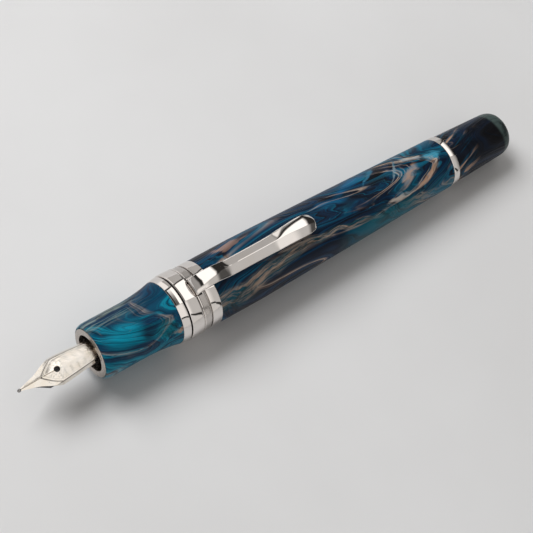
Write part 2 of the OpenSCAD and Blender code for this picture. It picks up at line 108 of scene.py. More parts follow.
class Graph:
    """Builds a node tree. Numbers come back as Value, vectors and colours as plain sockets."""

    def __init__(self, tree):
        self.tree = tree
        tree.nodes.clear()

    def node(self, kind):
        return self.tree.nodes.new(kind)

    def link(self, output, target):
        self.tree.links.new(output, target)

    def put(self, target, value):
        """Links a socket or a Value to the input, or sets the input to a constant."""
        value = getattr(value, "socket", value)
        if isinstance(value, bpy.types.NodeSocket):
            self.link(value, target)
        else:
            target.default_value = value

    def math(self, operation, first, second):
        node = self.node("ShaderNodeMath")
        node.operation = operation
        self.put(node.inputs[0], first)
        self.put(node.inputs[1], second)
        return Value(self, node.outputs[0])

    def ease(self, value, start, end, low=0.0, high=1.0):
        """Smooth step from low at start to high at end; start may lie above end."""
        node = self.node("ShaderNodeMapRange")
        node.interpolation_type = "SMOOTHSTEP"
        node.clamp = True
        self.put(node.inputs["Value"], value)
        limits = {"From Min": start, "From Max": end, "To Min": low, "To Max": high}
        for name, limit in limits.items():
            self.put(node.inputs[name], limit)
        return Value(self, node.outputs["Result"])

    def split(self, vector):
        node = self.node("ShaderNodeSeparateXYZ")
        self.put(node.inputs[0], vector)
        return [Value(self, output) for output in node.outputs]

    def combine(self, x, y, z):
        node = self.node("ShaderNodeCombineXYZ")
        for target, value in zip(node.inputs, (x, y, z)):
            self.put(target, value)
        return node.outputs[0]

    def vector_node(self, operation, vector):
        node = self.node("ShaderNodeVectorMath")
        node.operation = operation
        self.put(node.inputs[0], vector)
        return node

    def vector(self, operation, first, second):
        node = self.vector_node(operation, first)
        self.put(node.inputs[1], second)
        return node.outputs[0]

    def scaled(self, vector, factor):
        node = self.vector_node("SCALE", vector)
        node.inputs["Scale"].default_value = factor
        return node.outputs[0]

    def length(self, vector):
        return Value(self, self.vector_node("LENGTH", vector).outputs["Value"])

    def noise_node(self, point, scale, detail, rough):
        node = self.node("ShaderNodeTexNoise")
        self.put(node.inputs["Vector"], point)
        self.put(node.inputs["Scale"], scale)
        self.put(node.inputs["Detail"], detail)
        self.put(node.inputs["Roughness"], rough)
        return node

    def noise(self, point, scale, detail, rough):
        return Value(self, self.noise_node(point, scale, detail, rough).outputs["Fac"])

    def drift(self, point, scale, detail, rough, reach):
        """A noise vector centred on zero and stretched to reach."""
        colour = self.noise_node(point, scale, detail, rough).outputs["Color"]
        return self.scaled(self.vector("SUBTRACT", colour, (0.5, 0.5, 0.5)), reach)

    def ramp(self, value, stops):
        node = self.node("ShaderNodeValToRGB")
        elements = node.color_ramp.elements
        while len(elements) > 1:
            elements.remove(elements[-1])
        for i, (position, colour) in enumerate(stops):
            element = elements[0] if i == 0 else elements.new(position)
            element.position = position
            element.color = colour
        self.put(node.inputs[0], value)
        return node.outputs["Color"]

    def mix(self, factor, first, second, blend="MIX"):
        node = self.node("ShaderNodeMix")
        node.data_type = "RGBA"
        node.blend_type = blend
        node.clamp_factor = True
        self.put(node.inputs["Factor"], factor)
        self.put(node.inputs[6], first)
        self.put(node.inputs[7], second)
        return node.outputs[2]

    def bump(self, height, strength, depth_mm):
        node = self.node("ShaderNodeBump")
        self.put(node.inputs["Strength"], strength)
        self.put(node.inputs["Distance"], depth_mm / 1000)
        self.put(node.inputs["Height"], height)
        return node.outputs[0]


class Material(Graph):
    """A Principled material; mm holds the object coordinates in millimetres."""

    def __init__(self, name):
        self.material = bpy.data.materials.new(name)
        self.material.use_nodes = True
        super().__init__(self.material.node_tree)
        output = self.node("ShaderNodeOutputMaterial")
        self.surface = self.node("ShaderNodeBsdfPrincipled")
        self.link(self.surface.outputs[0], output.inputs["Surface"])
        self.mm = self.scaled(self.node("ShaderNodeTexCoord").outputs["Object"], 1000.0)

    def finish(self, **inputs):
        """Sets the surface's inputs, named with underscores for spaces."""
        for name, value in inputs.items():
            self.put(self.surface.inputs[name.replace("_", " ")], value)
        return self.material


def srgb(*channels):
    """Linear RGBA from sRGB channels of 0 to 255."""
    return tuple([((c / 255 + 0.055) / 1.055) ** 2.4 if c > 10 else c / 255 / 12.92
                  for c in channels] + [1.0])


def rgba(colour, gains=(1, 1, 1)):
    """A linear colour with each channel multiplied by its gain, and full alpha."""
    return (*[channel * gain for channel, gain in zip(colour, gains)], 1)


# ---------------------------------------------------------------------------
# Metals and plastics
def polished(name, base, rough, scratch):
    """Mirror plate: faint cloudiness, hairline wipe marks and a slightly varying roughness."""
    mat = Material(name)
    cloud = mat.noise(mat.mm, scale=0.22, detail=3, rough=0.55)
    x, y, z = mat.split(mat.mm)
    hair = mat.noise(mat.combine(x * 0.35, y * 7.0, z * 7.0), scale=1.6, detail=4, rough=0.65)
    fine = mat.noise(mat.mm, scale=9.0, detail=2, rough=0.5)
    warmer = rgba(base, gains=(0.98, 0.968, 0.952))
    colour = mat.mix(mat.ease(cloud, start=0.3, end=0.7), rgba(base), warmer)
    marks = mat.ease(hair, start=0.52, end=0.78) * (scratch * 0.10)
    dullness = mat.ease(cloud, start=0.35, end=0.8) * (rough * 0.5)
    relief = hair * 0.6 + fine * 0.4
    return mat.finish(Base_Color=colour, Metallic=1.0, Roughness=rough + marks + dullness,
                      Normal=mat.bump(relief, strength=scratch * 0.12, depth_mm=0.01))


def engraved(name, base, rough):
    """Plate with darkened cut lines and painted shade along the creases (the mesh's "line" values)
    and a fine etched ground.
    """
    mat = Material(name)
    attribute = mat.node("ShaderNodeAttribute")
    attribute.attribute_name = "line"
    x = mat.split(mat.mm)[0]
    etch = mat.noise(mat.mm, scale=2.6, detail=4, rough=0.7)
    etched_part = mat.ease(x, start=5.8, end=6.8)     # the sheet's front is plain and polished
    cloud = mat.noise(mat.mm, scale=0.5, detail=3, rough=0.6)
    colour = mat.mix(mat.ease(cloud, start=0.3, end=0.7),
                     rgba(base), rgba(base, gains=(0.95, 0.92, 0.87)))
    worn = mat.ease(etch, start=0.50, end=0.66, high=0.32) * etched_part
    # the darkening: cut lines, painted shade along the creases, and etched wear
    dark = mat.math("MAXIMUM", attribute.outputs["Fac"], worn)
    colour = mat.mix(dark * 0.93, colour, (0.045, 0.038, 0.032, 1))
    return mat.finish(Base_Color=colour, Metallic=1.0, Roughness=rough + dark * 0.25,
                      Normal=mat.bump(etch, strength=etched_part * 0.22, depth_mm=0.05))


def brushed(name, base, rough):
    """Metal with a grain drawn out along x."""
    mat = Material(name)
    x, y, z = mat.split(mat.mm)
    grain = mat.noise(mat.combine(x * 0.5, y * 7.0, z * 7.0), scale=1.0, detail=5, rough=0.7)
    colour = mat.mix(grain, rgba(base, gains=(0.82, 0.82, 0.82)), rgba(base))
    return mat.finish(Base_Color=colour, Metallic=1.0, Roughness=rough + grain * 0.15,
                      Normal=mat.bump(grain, strength=0.15, depth_mm=0.02))


def moulded(name, base, rough, variation=0.25, specular=0.5):
    """Plastic or rubber with a fine grain and a slow drift in brightness."""
    mat = Material(name)
    grain = mat.noise(mat.mm, scale=14.0, detail=3, rough=0.6)
    patches = mat.noise(mat.mm, scale=0.4, detail=2, rough=0.5)
    colour = mat.mix(patches, rgba(base, gains=[1 - variation] * 3),
                     rgba(base, gains=[1 + variation] * 3))
    return mat.finish(Base_Color=colour, Roughness=rough + grain * 0.12,
                      Normal=mat.bump(grain, strength=0.2, depth_mm=0.02),
                      Specular_IOR_Level=specular)


def floor_paint():
    mat = Material("floor_paint")
    cloud = mat.noise(mat.mm, scale=0.012, detail=4, rough=0.55)
    grain = mat.noise(mat.mm, scale=1.5, detail=3, rough=0.6)
    colour = mat.mix(mat.ease(cloud, start=0.3, end=0.75),
                     (0.78, 0.78, 0.785, 1), (0.73, 0.728, 0.73, 1))
    return mat.finish(Base_Color=colour, Roughness=0.42, Specular_IOR_Level=0.35,
                      Normal=mat.bump(grain, strength=0.03, depth_mm=0.05))


# ---------------------------------------------------------------------------
# Marbled resin
INK = srgb(5, 14, 28)
NAVY = srgb(4, 26, 50)
BLUE = srgb(2, 46, 76)
DEEP = srgb(0, 66, 92)
TEAL = srgb(0, 96, 122)
BRIGHT = srgb(6, 138, 162)
BLACK = srgb(6, 6, 10)
SLATE = srgb(74, 96, 108)
TAN = srgb(196, 158, 132)
CREAM = srgb(214, 200, 186)

# position on the fold level, colour
GRIP_RAMP = [(0.32, NAVY), (0.41, BLUE), (0.475, DEEP), (0.505, TEAL), (0.525, BRIGHT),
             (0.55, DEEP), (0.59, BLUE), (0.65, NAVY)]
BARREL_RAMP = [(0.30, TEAL), (0.36, DEEP), (0.41, BLUE), (0.455, NAVY), (0.49, INK),
               (0.525, NAVY), (0.555, BLUE), (0.585, DEEP), (0.615, NAVY), (0.64, TEAL),
               (0.68, BRIGHT), (0.73, TEAL), (0.80, DEEP)]
KNOB_RAMP = [(0.34, NAVY), (0.42, INK), (0.50, BLACK), (0.58, BLACK), (0.64, INK),
             (0.72, NAVY), (0.80, DEEP)]

# Swirls of colour: centre x, centre y, radius along, radius across (mm), turn (degrees),
# feathering of the edge, strength, colour
BARREL_SPOTS = [
    (90.0, 4.4, 6.5, 1.1, 8, 0.9, 0.70, srgb(4, 88, 134)),
    (82.0, 2.6, 5.0, 1.3, -12, 0.9, 0.60, srgb(6, 84, 124)),
    (95.5, 2.4, 3.2, 2.2, 0, 1.2, 0.82, BLACK),
    (94.6, 3.9, 3.6, 0.4, 24, 1.6, 0.75, srgb(60, 128, 160)),
    (100.2, 1.8, 3.4, 0.35, 40, 1.8, 0.60, srgb(150, 168, 176)),
    (87.0, 0.4, 5.5, 1.2, 10, 0.6, 0.65, INK),
    (111.2, 0.6, 2.2, 1.2, 0, 2.0, 0.85, srgb(84, 178, 208)),
    (108.6, 0.6, 1.6, 0.8, 30, 1.4, 0.70, INK),
    (106.0, 2.8, 3.6, 0.7, -14, 1.6, 0.75, CREAM),
    (103.4, -0.7, 3.4, 0.9, 24, 1.4, 0.88, TAN),
    (107.6, -3.0, 4.0, 0.7, 14, 1.4, 0.85, TAN),
    (98.4, -4.0, 4.6, 0.6, 6, 1.2, 0.80, CREAM),
    (55.5, 5.2, 4.6, 0.7, 4, 2.6, 0.62, srgb(176, 140, 122)),
]
GRIP_SPOTS = [
    (29.4, -3.3, 2.8, 1.7, 0, 0.6, 0.72, NAVY),
    (33.2, -4.4, 2.6, 1.6, 0, 0.8, 0.55, srgb(4, 84, 92)),
    (30.5, 2.6, 4.5, 1.3, 6, 1.2, 0.35, srgb(4, 40, 66)),
    (35.2, -5.9, 1.5, 0.5, 0, 2.4, 0.72, TAN),
]


class Marble(Material):
    """Swirled pearl resin. Noise warps noise into a folded field; the colour bands and the
    pearl's sheen follow that field's level lines, so they pack, part and curl like poured
    resin. The colour is built up in layers."""

    def __init__(self, name, offset, stretch, broad, bands):
        """stretch: of the pattern along x; broad, bands: how tightly the levels are packed."""
        super().__init__(name)
        self.x, self.y, self.z = self.split(self.mm)
        point = self.combine((self.x + offset[0]) * stretch,
                             self.y + offset[1], self.z + offset[2])
        self.warped_once = self.warp(point, scale=0.075, detail=0.0, rough=0.4, reach=15.0)
        point = self.warp(self.warped_once, scale=0.16, detail=0.6, rough=0.45, reach=6.5)
        self.folded = self.warp(point, scale=0.5, detail=1.0, rough=0.5, reach=1.1)
        field = self.noise(self.folded, scale=0.085, detail=0.5, rough=0.4)
        elsewhere = self.vector("ADD", self.folded, (37.0, 11.0, 5.0))
        self.field2 = self.noise(elsewhere, scale=0.075, detail=0.5, rough=0.4)
        self.broad = self.level_lines(field, broad, seed=3.7, detail=1.0)
        self.bands = self.level_lines(field, bands, seed=17.3, detail=2.0)
        self.silk = self.level_lines(field, 120.0, seed=41.9, detail=2.0)
        self.silk2 = self.level_lines(self.field2, 110.0, seed=8.1, detail=2.0)
        self.level = self.broad * 0.72 + self.bands * 0.28 + (self.silk - 0.5) * 0.16

    def warp(self, point, **drift):
        return self.vector("ADD", point, self.drift(point, **drift))

    def level_lines(self, field, packing, seed, detail):
        """Noise read along the field's value, so that it draws level lines."""
        wobble = self.noise(self.folded, scale=0.30, detail=1.0, rough=0.5) * 0.6
        point = self.combine(field * packing + seed, wobble, seed)
        return self.noise(point, scale=1.0, detail=detail, rough=0.55)

    def lay(self, colour, mask):
        self.colour = self.mix(mask, self.colour, colour)

    def pale_threads(self, bias, start, end, amount):
        """Packed lines of tan and cream where the second field folds."""
        lines = self.level_lines(self.field2, 30.0, seed=23.0, detail=2.0)
        elsewhere = self.vector("ADD", self.warped_once, (5.0, 29.0, 13.0))
        region = self.noise(elsewhere, scale=0.13, detail=1.0, rough=0.5)
        mask = (self.ease(lines + bias, start, end)
                * self.ease(region + bias, start=0.46, end=0.60))
        mask = mask * self.ease(self.silk2, start=0.36, end=0.58, low=0.15)
        pale = self.mix(self.ease(self.silk2, start=0.42, end=0.66), TAN, CREAM)
        self.lay(pale, mask * amount)

    def spots(self, table):
        """Swirls on the clip's side, swayed together and feathered along the folds."""
        sway = self.drift(self.mm, scale=0.22, detail=1.0, rough=0.5, reach=4.5)
        sway_x, sway_y = self.split(sway)[:2]
        for centre_x, centre_y, long, wide, turn, feather, strength, colour in table:
            cos, sin = math.cos(math.radians(turn)), math.sin(math.radians(turn))
            from_x = self.x + sway_x - centre_x
            from_y = self.y + sway_y * 0.6 - centre_y
            along = from_x * (cos / long) + from_y * (sin / long)
            across = from_y * (cos / wide) - from_x * (sin / wide)
            reach = (self.length(self.combine(along, across, 0.0))
                     + (self.silk2 - 0.5) * feather)
            mask = (self.ease(reach, start=1.15, end=0.45)
                    * self.ease(self.z, start=-3.0, end=0.0))
            self.lay(colour, mask * strength)

    def streaks(self, across, along_scale, swirl, across_scale):
        """Fine threads running along the pen, bent by the broad bands."""
        point = self.combine(self.x * along_scale,
                             (across + self.broad * swirl) * across_scale, 7.0)
        return self.noise(point, scale=1.0, detail=4.0, rough=0.62)

    def polish(self, hair, hair_colour, feather, fleck, pearl, coat):
        """The layers all pieces share, then the sheen and the clear skin. hair, feather and
        fleck are amounts of hairlines, slate feathering and mica."""
        hairs = (self.ease(self.silk, start=0.60, end=0.72)
                 * self.ease(self.bands, start=0.40, end=0.58))
        self.lay(hair_colour, hairs * hair)
        feathers = (self.ease(self.silk2, start=0.60, end=0.74)
                    * self.ease(self.bands, start=0.42, end=0.6))
        self.lay(SLATE, feathers * feather)
        shade = self.ease(self.silk, start=0.28, end=0.50, low=0.45)
        self.colour = self.mix(1.0, self.colour, self.combine(shade, shade, shade), "MULTIPLY")
        mica = self.ease(self.noise(self.mm, scale=11.0, detail=1.0, rough=0.5),
                         start=0.70, end=0.80)
        self.lay(CREAM, mica * fleck)
        relief = self.bands * 1.0 + self.silk * 0.35
        skin = self.noise(self.mm, scale=0.6, detail=3, rough=0.6)
        wiped = self.combine(self.x * 0.3, self.y * 5.0, self.z * 5.0)
        scuff = self.ease(self.noise(wiped, scale=1.4, detail=3, rough=0.6),
                          start=0.62, end=0.80)
        return self.finish(
            Base_Color=self.colour,
            Metallic=self.ease(self.bands, start=0.40, end=0.62) * pearl,
            Roughness=self.ease(self.silk, start=0.3, end=0.7, low=0.40, high=0.55),
            Normal=self.bump(relief, strength=0.45, depth_mm=0.9),
            Coat_Weight=coat,
            Coat_Roughness=(self.ease(skin, start=0.35, end=0.75, low=0.03, high=0.055)
                            + scuff * 0.03),
            Coat_IOR=1.38,
            Specular_IOR_Level=0.12)


def grip_resin():
    resin = Marble("grip_resin", offset=(-26.0, 5.0, 3.0), stretch=0.36, broad=9.0, bands=24.0)
    x, y, z = resin.x, resin.y, resin.z
    ease = resin.ease
    resin.colour = resin.ramp(resin.level, GRIP_RAMP)
    resin.pale_threads(ease(z, start=1.0, end=6.5) * 0.06, start=0.59, end=0.73, amount=0.48)
    resin.spots(GRIP_SPOTS)
    # a bright pool round one point, broken up by the bands
    from_centre = resin.combine((x - 24.2) * 0.20, (y + 1.5) * 0.34, 0.0)
    pool = ease(resin.length(from_centre), start=1.15, end=0.35)
    resin.lay(srgb(2, 146, 174),
              pool * ease(resin.bands, start=0.66, end=0.44, low=0.25, high=0.88))
    # light and dark streaks along the far side
    thread = resin.streaks(y, along_scale=0.10, swirl=1.5, across_scale=1.6)
    zone = ease(y, start=1.4, end=3.4) * ease(x, start=34.0, end=26.0)
    resin.lay(srgb(150, 168, 160), zone * ease(thread, start=0.46, end=0.60) * 0.55)
    resin.lay(NAVY, zone * ease(thread, start=0.46, end=0.34) * 0.60)
    return resin.polish(hair=0.30, hair_colour=srgb(6, 146, 172), feather=0.05, fleck=0.06,
                        pearl=0.60, coat=0.12)


def barrel_streak(resin):
    """A long feathered streak, broad at the front and thinning towards the back."""
    x, y, z = resin.x, resin.y, resin.z
    ease = resin.ease
    middle = (ease(x, start=46.0, end=72.0, low=-5.5, high=-3.5)
              + ease(x, start=76.0, end=100.0, low=0.0, high=-2.3))
    half_width = ease(x, start=54.0, end=84.0, low=1.65, high=0.55)
    wander = resin.noise(resin.combine(x * 0.16, 3.0, z * 0.05), scale=1.0, detail=2.0, rough=0.5)
    across = y + (wander - 0.5) * 2.6 - middle
    body = (ease(abs(across) / half_width, start=1.25, end=0.45)
            * ease(z, start=-3.0, end=0.5))
    thread = resin.streaks(across, along_scale=0.13, swirl=2.0, across_scale=1.9)
    resin.lay(srgb(22, 84, 96), body * 0.62)
    resin.lay(srgb(178, 150, 130), body * ease(thread, start=0.42, end=0.64) * 0.72)


def barrel_resin():
    resin = Marble("barrel_resin", offset=(11.0, 2.0, -4.0), stretch=0.30,
                   broad=14.0, bands=44.0)
    x, y = resin.x, resin.y
    ease = resin.ease
    # the deep blue middle gives way to brighter swirls at the back and the front
    from_nose = x - NOSE_FACE_X
    back = ease(from_nose, start=76.0, end=100.0)
    front = ease(from_nose, start=66.0, end=50.0)
    resin.colour = resin.ramp(resin.level + (back * 0.075 + front * 0.035), BARREL_RAMP)
    more_at_back = ease(x, start=88.0, end=104.0) * 0.095 - 0.035
    resin.pale_threads(more_at_back, start=0.56, end=0.69, amount=0.90)
    resin.spots(BARREL_SPOTS)
    barrel_streak(resin)
    # bright pools between the pale swirls at the back, a teal flank on the near side
    pools = ease(x, start=88.0, end=102.0) * ease(resin.bands, start=0.52, end=0.40)
    resin.lay(srgb(4, 112, 142), pools * 0.55)
    flank = (ease(x, start=78.0, end=90.0) * ease(x, start=108.0, end=98.0)
             * ease(y, start=-4.0, end=-5.4))
    resin.lay(srgb(6, 96, 112), flank * 0.72)
    return resin.polish(hair=0.45, hair_colour=srgb(16, 118, 148), feather=0.09, fleck=0.06,
                        pearl=0.55, coat=0.12)


def knob_resin():
    resin = Marble("knob_resin", offset=(-90.0, 12.0, 5.0), stretch=0.22,
                   broad=11.0, bands=34.0)
    x, y, z = resin.x, resin.y, resin.z
    ease = resin.ease
    resin.colour = resin.ramp(resin.level, KNOB_RAMP)
    resin.pale_threads(ease(x, start=124.0, end=117.0) * 0.07, start=0.60, end=0.73, amount=0.55)
    # slanting threads on the front part
    slanted = resin.combine(x * 0.05, y * 0.62 - x * 0.22, z * 0.2)
    thread = resin.noise(slanted, scale=1.0, detail=2.0, rough=0.5)
    zone = ease(x, start=124.5, end=118.0)
    resin.lay(DEEP, zone * ease(thread, start=0.50, end=0.60, high=0.75))
    resin.lay(TAN, zone * ease(thread, start=0.60, end=0.66, high=0.85))
    # painted reflection: a paler, grey-green sheen on the end face, broken into patches
    patches = resin.noise(resin.mm, scale=0.30, detail=2.0, rough=0.5)
    face = (ease(x + y * 0.16, start=130.8, end=131.7)
            * ease(patches, start=0.38, end=0.50, low=0.30, high=0.85))
    resin.lay(srgb(70, 84, 82), face)
    return resin.polish(hair=0.10, hair_colour=srgb(16, 70, 96), feather=0.04, fleck=0.03,
                        pearl=0.25, coat=0.18)


MATERIALS = {
    "trim": polished("trim_plate", (0.755, 0.722, 0.70), rough=0.04, scratch=0.012),
    "spacer": polished("spacer_plate", (0.56, 0.53, 0.51), rough=0.16, scratch=0.5),
    "nose": polished("nose_plate", (0.50, 0.455, 0.42), rough=0.24, scratch=0.6),
    "nib": engraved("nib_plate", (0.86, 0.82, 0.765), rough=0.13),
    "tip": brushed("tipping_metal", (0.36, 0.35, 0.34), rough=0.20),
    "grip": grip_resin(),
    "barrel": barrel_resin(),
    "knob": knob_resin(),
    "feed": moulded("feed_plastic", (0.018, 0.018, 0.02), rough=0.42),
    "brass": brushed("turned_brass", (0.70, 0.52, 0.25), rough=0.22),
    "steel": brushed("ground_steel", (0.60, 0.61, 0.63), rough=0.20),
    "acetal": moulded("acetal", (0.74, 0.74, 0.70), rough=0.38, variation=0.05),
    "rubber": moulded("seal_rubber", (0.012, 0.012, 0.013), rough=0.62, specular=0.3),
    "cartridge": moulded("cartridge_plastic", (0.03, 0.07, 0.30), rough=0.18, variation=0.2),
}


# ---------------------------------------------------------------------------
# Mesh helpers
def add_mesh(name, verts, faces, body, material, replaces, sharp, line=None):
    """Adds a smooth mesh with edges above sharp degrees kept sharp; line: a value per point."""
    mesh = bpy.data.meshes.new(name)
    mesh.from_pydata(to_row(verts).tolist(), [], [list(face) for face in faces])
    if line is not None:
        attribute = mesh.attributes.new("line", "FLOAT", "POINT")
        attribute.data.foreach_set("value", np.asarray(line, np.float32))
    merged = bmesh.new()
    merged.from_mesh(mesh)
    bmesh.ops.remove_doubles(merged, verts=merged.verts, dist=2e-7)
    bmesh.ops.recalc_face_normals(merged, faces=merged.faces)
    merged.to_mesh(mesh)
    merged.free()
    mesh.update()
    mesh.polygons.foreach_set("use_smooth", [True] * len(mesh.polygons))
    mesh.set_sharp_from_angle(angle=math.radians(sharp))
    ob = bpy.data.objects.new(name, mesh)
    scene.collection.objects.link(ob)
    mesh.materials.append(MATERIALS[material])
    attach(ob, body)
    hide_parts(replaces)


def ring_faces(first, second, count):
    """Quads between two closed rings of count points, given by their row numbers."""
    return [(first * count + j, second * count + j,
             second * count + (j + 1) % count, first * count + (j + 1) % count)
            for j in range(count)]


def fillet(corners, steps):
    """Rounds a closed outline of (x, radius[, fillet radius]) corners with arcs of steps."""
    outline = []
    for i, corner in enumerate(corners):
        point = np.array(corner[:2], float)
        if len(corner) < 3:
            outline.append(tuple(point))
            continue
        before = np.array(corners[i - 1][:2], float) - point
        after = np.array(corners[(i + 1) % len(corners)][:2], float) - point
        before_length, after_length = np.linalg.norm(before), np.linalg.norm(after)
        before, after = before / before_length, after / after_length
        angle = math.acos(max(-1, min(1, float(before @ after))))
        cut = min(corner[2] / math.tan(angle / 2), before_length * 0.48, after_length * 0.48)
        radius = cut * math.tan(angle / 2)
        inward = (before + after) / np.linalg.norm(before + after)
        centre = point + inward * (radius / math.sin(angle / 2))
        from_centre, to_end = point + before * cut - centre, point + after * cut - centre
        start = math.atan2(from_centre[1], from_centre[0])
        end = math.atan2(to_end[1], to_end[0])
        sweep = (end - start + math.pi) % (2 * math.pi) - math.pi
        for j in range(steps + 1):
            turn = start + sweep * j / steps
            outline.append((centre[0] + radius * math.cos(turn),
                            centre[1] + radius * math.sin(turn)))
    return outline


def even_angles(count):
    return np.arange(count) * 2 * np.pi / count


def lathe(name, outline, body, material, replaces, angles=even_angles(192),
          shape=None):
    """Turns a closed (x, radius) outline about the pen's axis. Angle 0 is the clip's side;
    shape(x, radius, angle) may move points."""
    outline = np.array(outline, float)
    angles = np.array(angles, float)
    rows, count = len(outline), len(angles)
    x = np.repeat(outline[:, 0][:, None], count, 1)
    radius = np.repeat(outline[:, 1][:, None], count, 1)
    angle = np.repeat(angles[None], rows, 0)
    if shape is not None:
        x, radius = shape(x, radius, angle)
    verts = np.stack([x, radius * np.sin(angle), radius * np.cos(angle)], -1).reshape(-1, 3)
    faces = []
    for i in range(rows):
        following = (i + 1) % rows
        on_axis = outline[i][1] < 1e-6 and outline[following][1] < 1e-6
        if not on_axis:
            faces += ring_faces(i, following, count)
    add_mesh(name, verts, faces, body, material, replaces, sharp=32)


def hermite(u, start, end, start_slope, end_slope):
    return ((2 * u**3 - 3 * u**2 + 1) * start + (u**3 - 2 * u**2 + u) * start_slope
            + (-2 * u**3 + 3 * u**2) * end + (u**3 - u**2) * end_slope)


def spline(t, points):
    """Catmull-Rom curve through the rows of points, at parameters 0 to len(points) - 1."""
    points = np.asarray(points, float)
    last = len(points) - 1
    i = np.clip(np.floor(t).astype(int), 0, last - 1)
    before, start, end, after = [points[np.clip(i + k, 0, last)] for k in (-1, 0, 1, 2)]
    return hermite((t - i)[:, None], start, end, (end - before) / 2, (after - start) / 2)


def smooth_step(u):
    u = np.clip(u, 0, 1)
    return u * u * (3 - 2 * u)


def bell(distance, width):
    return np.exp(-(distance / width) ** 2)


# ---------------------------------------------------------------------------
# Resin pieces. Outlines are closed lists of (x, radius).
def grip_shell():
    swell_start, swell_length, swell_height = 9.3, 9.53, 0.94
    nose_x, nose_length, nose_drop = 1.95, 1.78, 0.65     # the rounded front edge
    nose_radius = GRIP_RADIUS - nose_drop
    outline = [(0.78, SECTION_BORE), (0.78, 5.66), (0.24, 5.66), (0.17, nose_radius)]
    for angle in np.radians(np.arange(12, 91, 6)):
        outline.append((nose_x - nose_length * math.cos(angle),
                        nose_radius + nose_drop * math.sin(angle)))
    x = np.linspace(2.3, 18.72, 60)
    swell = np.power(np.clip((x - swell_start) / swell_length, 0, 1), 2.3)
    outline += list(zip(x, GRIP_RADIUS + swell_height * swell))
    outline += [(18.81, 7.28), (18.82, 7.2), (18.82, SECTION_BORE)]
    lathe("grip_shell", outline, "section", "grip", "grip_section",
          even_angles(256))


def barrel_radius(x):
    """Widest at one place, swelling up to it and tapering behind it."""
    widest_x, widest = 39.5, 7.53
    x = np.asarray(x, float)
    swell = widest - 0.05 * ((widest_x - x) / 10.6) ** 2
    along_taper = np.clip((x - widest_x) / (BARREL_END - widest_x), 0, 1)
    return np.where(x < widest_x, swell, widest - 1.40 * np.power(along_taper, 1.15))


def barrel_shell():
    front, counterbore_end, rear_bore = 28.93, 38.1, 5.16
    outline = [(front, BARREL_BORE), (front, 7.40), (29.0, float(barrel_radius(29.0)))]
    x = np.linspace(29.3, BARREL_END - 0.12, 120)
    outline += list(zip(x, barrel_radius(x)))
    outline += [(BARREL_END - 0.03, 6.07), (BARREL_END, 5.98), (BARREL_END, rear_bore),
                (counterbore_end, rear_bore), (counterbore_end, BARREL_BORE)]
    lathe("barrel_shell", outline, "barrel", "barrel", "barrel",
          even_angles(256))


def knob_shell():
    bore, bore_end = 4.24, 112.2
    front_radius, taper, taper_end = 5.97, 0.62, 114.3
    dome_radius, dome_power = 5.38, 0.33
    outline = [(KNOB_START, bore), (KNOB_START, 5.80), (KNOB_START + 0.03, 5.89),
               (KNOB_START + 0.12, 5.96)]
    x = np.linspace(KNOB_START + 0.4, KNOB_DOME_START, 40)
    outline += list(zip(x, front_radius - taper * (x - KNOB_START) / (taper_end - KNOB_START)))
    dome_length = KNOB_END - KNOB_DOME_START
    for angle in np.radians(np.concatenate([np.arange(6, 78, 6), np.arange(78, 90, 2.0)])):
        outline.append((KNOB_DOME_START + dome_length * math.sin(angle),
                        dome_radius * math.cos(angle) ** dome_power))
    outline += [(KNOB_END, 0.0), (bore_end, 0.0), (bore_end, bore)]
    lathe("knob_shell", outline, "knob", "knob", "knob", even_angles(256))


# ---------------------------------------------------------------------------
# Rings. Outlines are closed lists of (x, radius[, fillet radius]).
NOSE_RING = [(NOSE_FACE_X, 4.2, 0.12), (NOSE_FACE_X, 5.62, 0.10), (0.75, 5.62, 0.03),
             (0.75, 4.7), (3.9, 4.7), (3.9, 4.2)]
FRONT_BAND = [(18.86, SECTION_BORE), (18.86, 7.36, 0.10), (19.3, 7.45, 0.3), (19.9, 7.58, 0.3),
              (20.64, 7.69, 0.10), (20.64, SECTION_BORE)]
CLIP_WASHER = [(24.13, BARREL_BORE), (24.13, 7.6), (24.17, 7.68), (24.25, 7.715),
               (24.38, 7.715), (24.46, 7.68), (24.5, 7.6), (24.5, BARREL_BORE)]
SPACER_BAND = [(24.53, BARREL_BORE), (24.53, 7.48), (24.56, 7.5), (24.8, 7.5), (25.2, 7.5),
               (25.45, 7.5), (25.55, 7.5), (26.0, 7.5), (26.06, 7.48), (26.08, 7.44),
               (26.08, 7.1), (26.37, 7.1), (26.37, BARREL_BORE)]
REAR_BAND = [(26.42, BARREL_BORE), (26.42, 7.50, 0.09), (27.6, 7.55, 0.9), (28.9, 7.53, 0.10),
             (28.9, BARREL_BORE)]
TAIL_BAND = [(95.8, 4.9), (95.8, 5.13), (BARREL_END + 0.03, 5.13),
             (BARREL_END + 0.03, 6.16, 0.12), (98.95, 6.16, 0.14), (98.95, 4.9)]
SEAL_WASHER = [(20.69, 5.33), (20.69, 7.33, 0.05), (20.91, 7.33, 0.05), (20.91, 5.33)]

MIDDLE_BAND_END = 24.08
FLAT_HALF_ANGLE = math.asin((CLIP_HALF_WIDTH + 0.09) / 7.3)    # of the flats under the clip


def signed_angle(angle):
    return (angle + np.pi) % (2 * np.pi) - np.pi


def middle_band_outline():
    crown_x, crown = 21.95, 7.81
    x = np.linspace(21.12, 23.9, 14)
    radius = crown - 0.09 * ((x - crown_x) / 2.15) ** 2
    radius = radius - np.where(x < crown_x, 0.05 * (crown_x - x) ** 2, 0)
    end = MIDDLE_BAND_END
    return ([(20.96, BARREL_BORE), (20.96, 7.58), (20.99, 7.67), (21.04, 7.71)]
            + list(zip(x, radius))
            + [(24.0, 7.69), (24.05, 7.66), (end, 7.58), (end, 7.02), (end, 7.0),
               (end, BARREL_BORE)])


